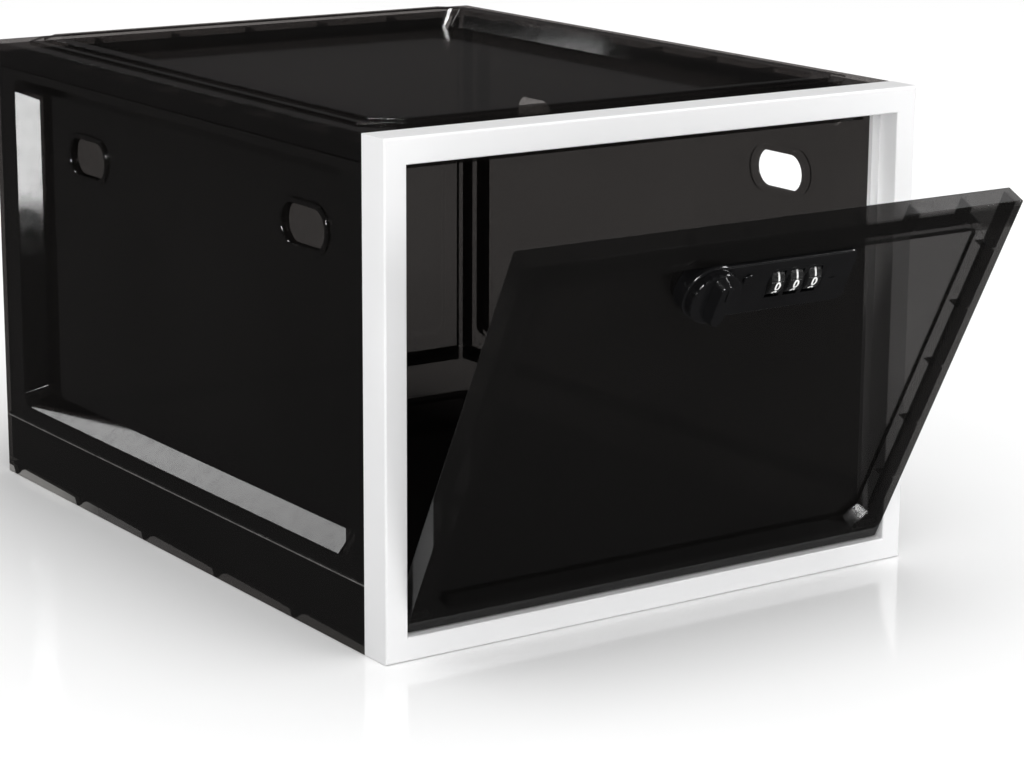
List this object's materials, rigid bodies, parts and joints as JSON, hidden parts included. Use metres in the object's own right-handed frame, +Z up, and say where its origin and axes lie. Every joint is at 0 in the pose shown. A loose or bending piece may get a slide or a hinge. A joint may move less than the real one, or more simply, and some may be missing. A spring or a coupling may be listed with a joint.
{
  "type": "locking storage box",
  "caption": "Smoked clear storage box with a white front frame, a bottom-hinged front door with a number-dial lock and turn knob, side finger slots and a recessed stacking top.",
  "frame": {"origin": "middle of the front frame's foot, on the surface the box stands on, 8 mm behind the front plane", "axes": "+X to the right seen from the front, +Y from the front to the back, +Z up"},
  "size_m": [0.25, 0.4005, 0.198],
  "materials": {
    "frame_white": "smooth moulded, satin gloss",
    "smoked": "clear smoked, polished",
    "lock_black": "glossy",
    "dial_black": "satin, white numbers",
    "sleeve_grey": "moulded",
    "steel": "zinc plated",
    "spring_steel": "drawn wire"
  },
  "bodies": {
    "box": {"front_frame": "frame_white", "top_tray": "smoked", "bottom_tray": "smoked", "left_side_panel": "smoked", "right_side_panel": "smoked", "back_panel": "smoked"},
    "door": {"door_panel": "smoked", "hinge_pins": "steel", "lock_housing": "lock_black", "lock_back_cover": "lock_black", "lock_screws": "steel", "dial_axle": "steel", "axle_spring": "spring_steel", "detent_spring": "spring_steel", "slider_spring": "spring_steel", "reset_spring": "spring_steel"},
    "knob": {"turn_knob": "lock_black", "lock_spindle": "steel", "retaining_clip": "spring_steel", "latch_cam": "steel", "cam_washer": "steel", "cam_screw": "steel"},
    "dial_1": {"number_dial_1": "dial_black", "code_sleeve_1": "sleeve_grey"},
    "dial_2": {"number_dial_2": "dial_black", "code_sleeve_2": "sleeve_grey"},
    "dial_3": {"number_dial_3": "dial_black", "code_sleeve_3": "sleeve_grey"},
    "slider": {"blocking_slider": "sleeve_grey"},
    "reset": {"reset_button": "lock_black"}
  },
  "joints": [
    {"name": "door_hinge", "type": "hinge", "parent": "box", "child": "door", "pos_m": [0, -0.0025, 0.0157], "axis": [1, 0, 0], "range_deg": [-27, 63]},
    {"name": "knob_turn", "type": "hinge", "parent": "door", "child": "knob", "pos_m": [-0.028, -0.07143, 0.14107], "axis": [0, -0.891, -0.454], "range_deg": [0, 90]},
    {"name": "dial_1_turn", "type": "hinge", "parent": "door", "child": "dial_1", "pos_m": [0.0019, -0.06787, 0.14289], "axis": [1, 0, 0], "continuous": true},
    {"name": "dial_2_turn", "type": "hinge", "parent": "door", "child": "dial_2", "pos_m": [0.0105, -0.06787, 0.14289], "axis": [1, 0, 0], "continuous": true},
    {"name": "dial_3_turn", "type": "hinge", "parent": "door", "child": "dial_3", "pos_m": [0.0191, -0.06787, 0.14289], "axis": [1, 0, 0], "continuous": true},
    {"name": "slider_move", "type": "slide", "parent": "door", "child": "slider", "axis": [1, 0, 0], "range_m": [0, 0.000601]},
    {"name": "reset_press", "type": "slide", "parent": "door", "child": "reset", "axis": [0, 0.891, 0.454], "range_m": [0, 0.0012], "stiffness_N_per_m": 400, "springref_m": -0.0008}
  ],
  "couplings": [
    {"joint": "slider_move", "follows": "knob_turn", "m_per_rad": 0.000382}
  ]
}
